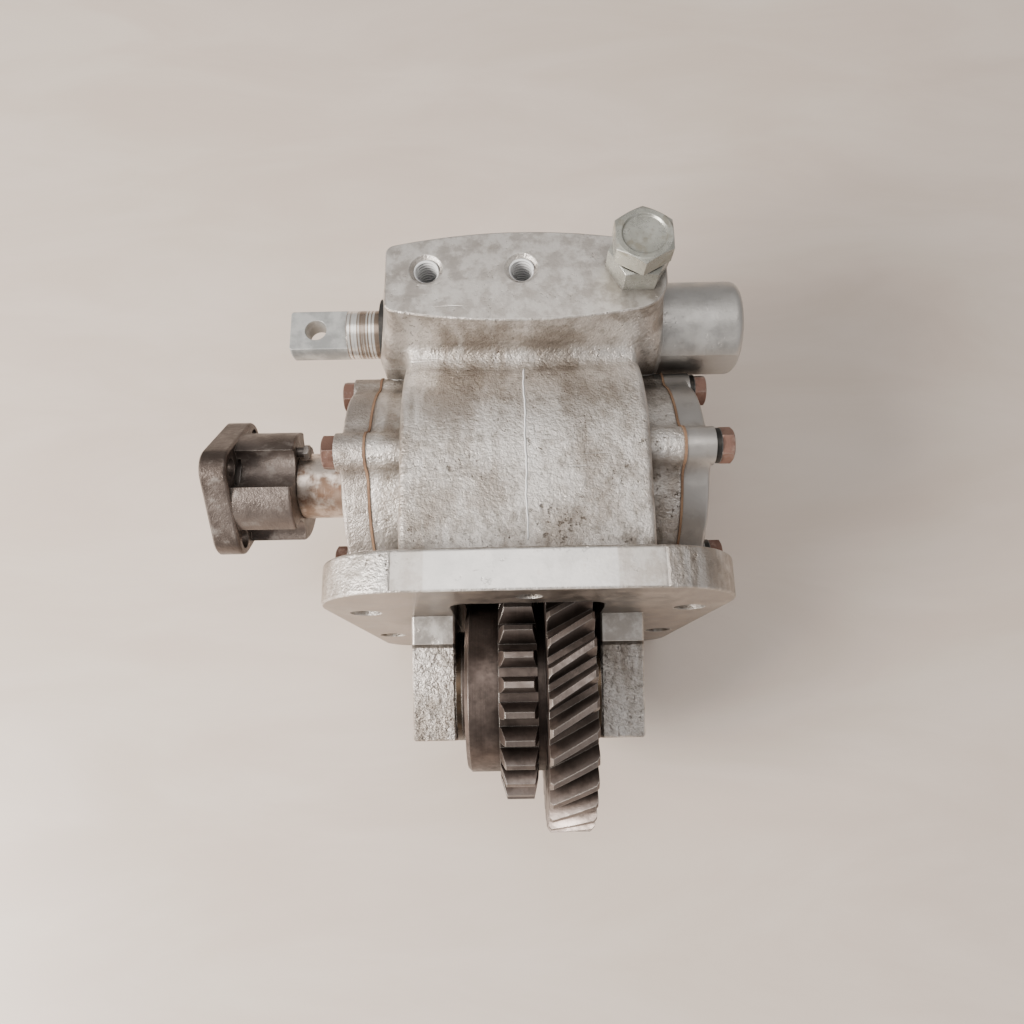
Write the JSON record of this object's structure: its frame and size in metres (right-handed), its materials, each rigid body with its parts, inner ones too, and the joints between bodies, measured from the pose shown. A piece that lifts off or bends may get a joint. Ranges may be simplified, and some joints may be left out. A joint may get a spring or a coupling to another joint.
{
  "type": "power take-off gearbox",
  "caption": "Side-mount power take-off gearbox: square mounting flange with an idler gear cluster between lugs, shift rod with sliding gear, and an output shaft with companion flange.",
  "frame": {"origin": "centre of the four flange bolts, on the mounting face", "axes": "-Y out of the mounting face towards the gear it meshes with, -X along the output shaft towards its companion flange, +Z towards the pad with the threaded holes"},
  "size_m": [0.2385, 0.244, 0.193],
  "materials": {
    "cast_aluminium": "as-cast with machined faces",
    "sand_cast_aluminium": "rough sand-cast skin",
    "smooth_cast_aluminium": "smooth grey casting",
    "gasket_paper": "brown, oil-soaked",
    "rusty_fastener_steel": "rust-stained",
    "black_spring_steel": "black oxide",
    "zinc_plated_steel": "zinc plated, worn",
    "gear_steel": "dark, oily, bright on worn edges",
    "ground_steel": "ground",
    "thrust_bronze": "oily bronze",
    "bearing_steel": "polished",
    "shaft_steel": "bare steel, light rust",
    "yoke_cast_iron": "dark, oily casting",
    "yoke_fastener_steel": "dark steel",
    "rod_steel": "turned, polished rings near the seal",
    "fork_steel": "machined casting",
    "seal_rubber": "matt"
  },
  "bodies": {
    "housing": {"housing": "cast_aluminium", "left_cover": "sand_cast_aluminium", "right_cover": "smooth_cast_aluminium", "left_gasket": "gasket_paper", "right_gasket": "gasket_paper", "left_cover_bolts": "rusty_fastener_steel", "right_cover_bolts": "rusty_fastener_steel", "right_spring_washers": "black_spring_steel", "detent_plug_nut": "zinc_plated_steel", "detent_plug_bolt": "zinc_plated_steel", "detent_spring": "black_spring_steel", "detent_ball": "bearing_steel", "idler_pin": "ground_steel", "idler_lock_pin": "ground_steel", "left_thrust_washer": "thrust_bronze", "right_thrust_washer": "thrust_bronze", "output_oil_seal": "seal_rubber", "shift_rod_seal": "seal_rubber", "left_bearing_outer_ring": "bearing_steel", "right_bearing_outer_ring": "bearing_steel"},
    "idler_cluster": {"idler_cluster_gear": "gear_steel", "left_needle_rollers": "bearing_steel", "right_needle_rollers": "bearing_steel", "needle_spacer": "bearing_steel"},
    "output": {"output_shaft": "shaft_steel", "left_circlip": "black_spring_steel", "right_circlip": "black_spring_steel", "companion_flange": "yoke_cast_iron", "yoke_key": "ground_steel", "yoke_keeper_screw": "yoke_fastener_steel", "yoke_washer": "yoke_fastener_steel", "yoke_nut": "yoke_fastener_steel", "left_bearing_inner_ring": "bearing_steel", "left_bearing_balls": "bearing_steel", "left_bearing_cage": "bearing_steel", "right_bearing_inner_ring": "bearing_steel", "right_bearing_balls": "bearing_steel", "right_bearing_cage": "bearing_steel"},
    "sliding_gear": {"sliding_gear": "gear_steel"},
    "shift": {"shift_rod": "rod_steel", "shift_fork": "fork_steel", "fork_pin": "ground_steel"}
  },
  "joints": [
    {"name": "idler_spin", "type": "hinge", "parent": "housing", "child": "idler_cluster", "pos_m": [0, -0.0275, -0.004], "axis": [1, 0, 0], "continuous": true},
    {"name": "output_spin", "type": "hinge", "parent": "housing", "child": "output", "pos_m": [0, 0.0637, 0.0129], "axis": [1, 0, 0], "continuous": true},
    {"name": "shift_slide", "type": "slide", "parent": "housing", "child": "shift", "axis": [1, 0, 0], "range_m": [-0.017, 0]},
    {"name": "gear_slide", "type": "slide", "parent": "output", "child": "sliding_gear", "axis": [1, 0, 0], "range_m": [-0.017, 0]}
  ],
  "couplings": [
    {"joint": "output_spin", "follows": "idler_spin", "ratio": -0.96296},
    {"joint": "gear_slide", "follows": "shift_slide", "ratio": 1}
  ]
}
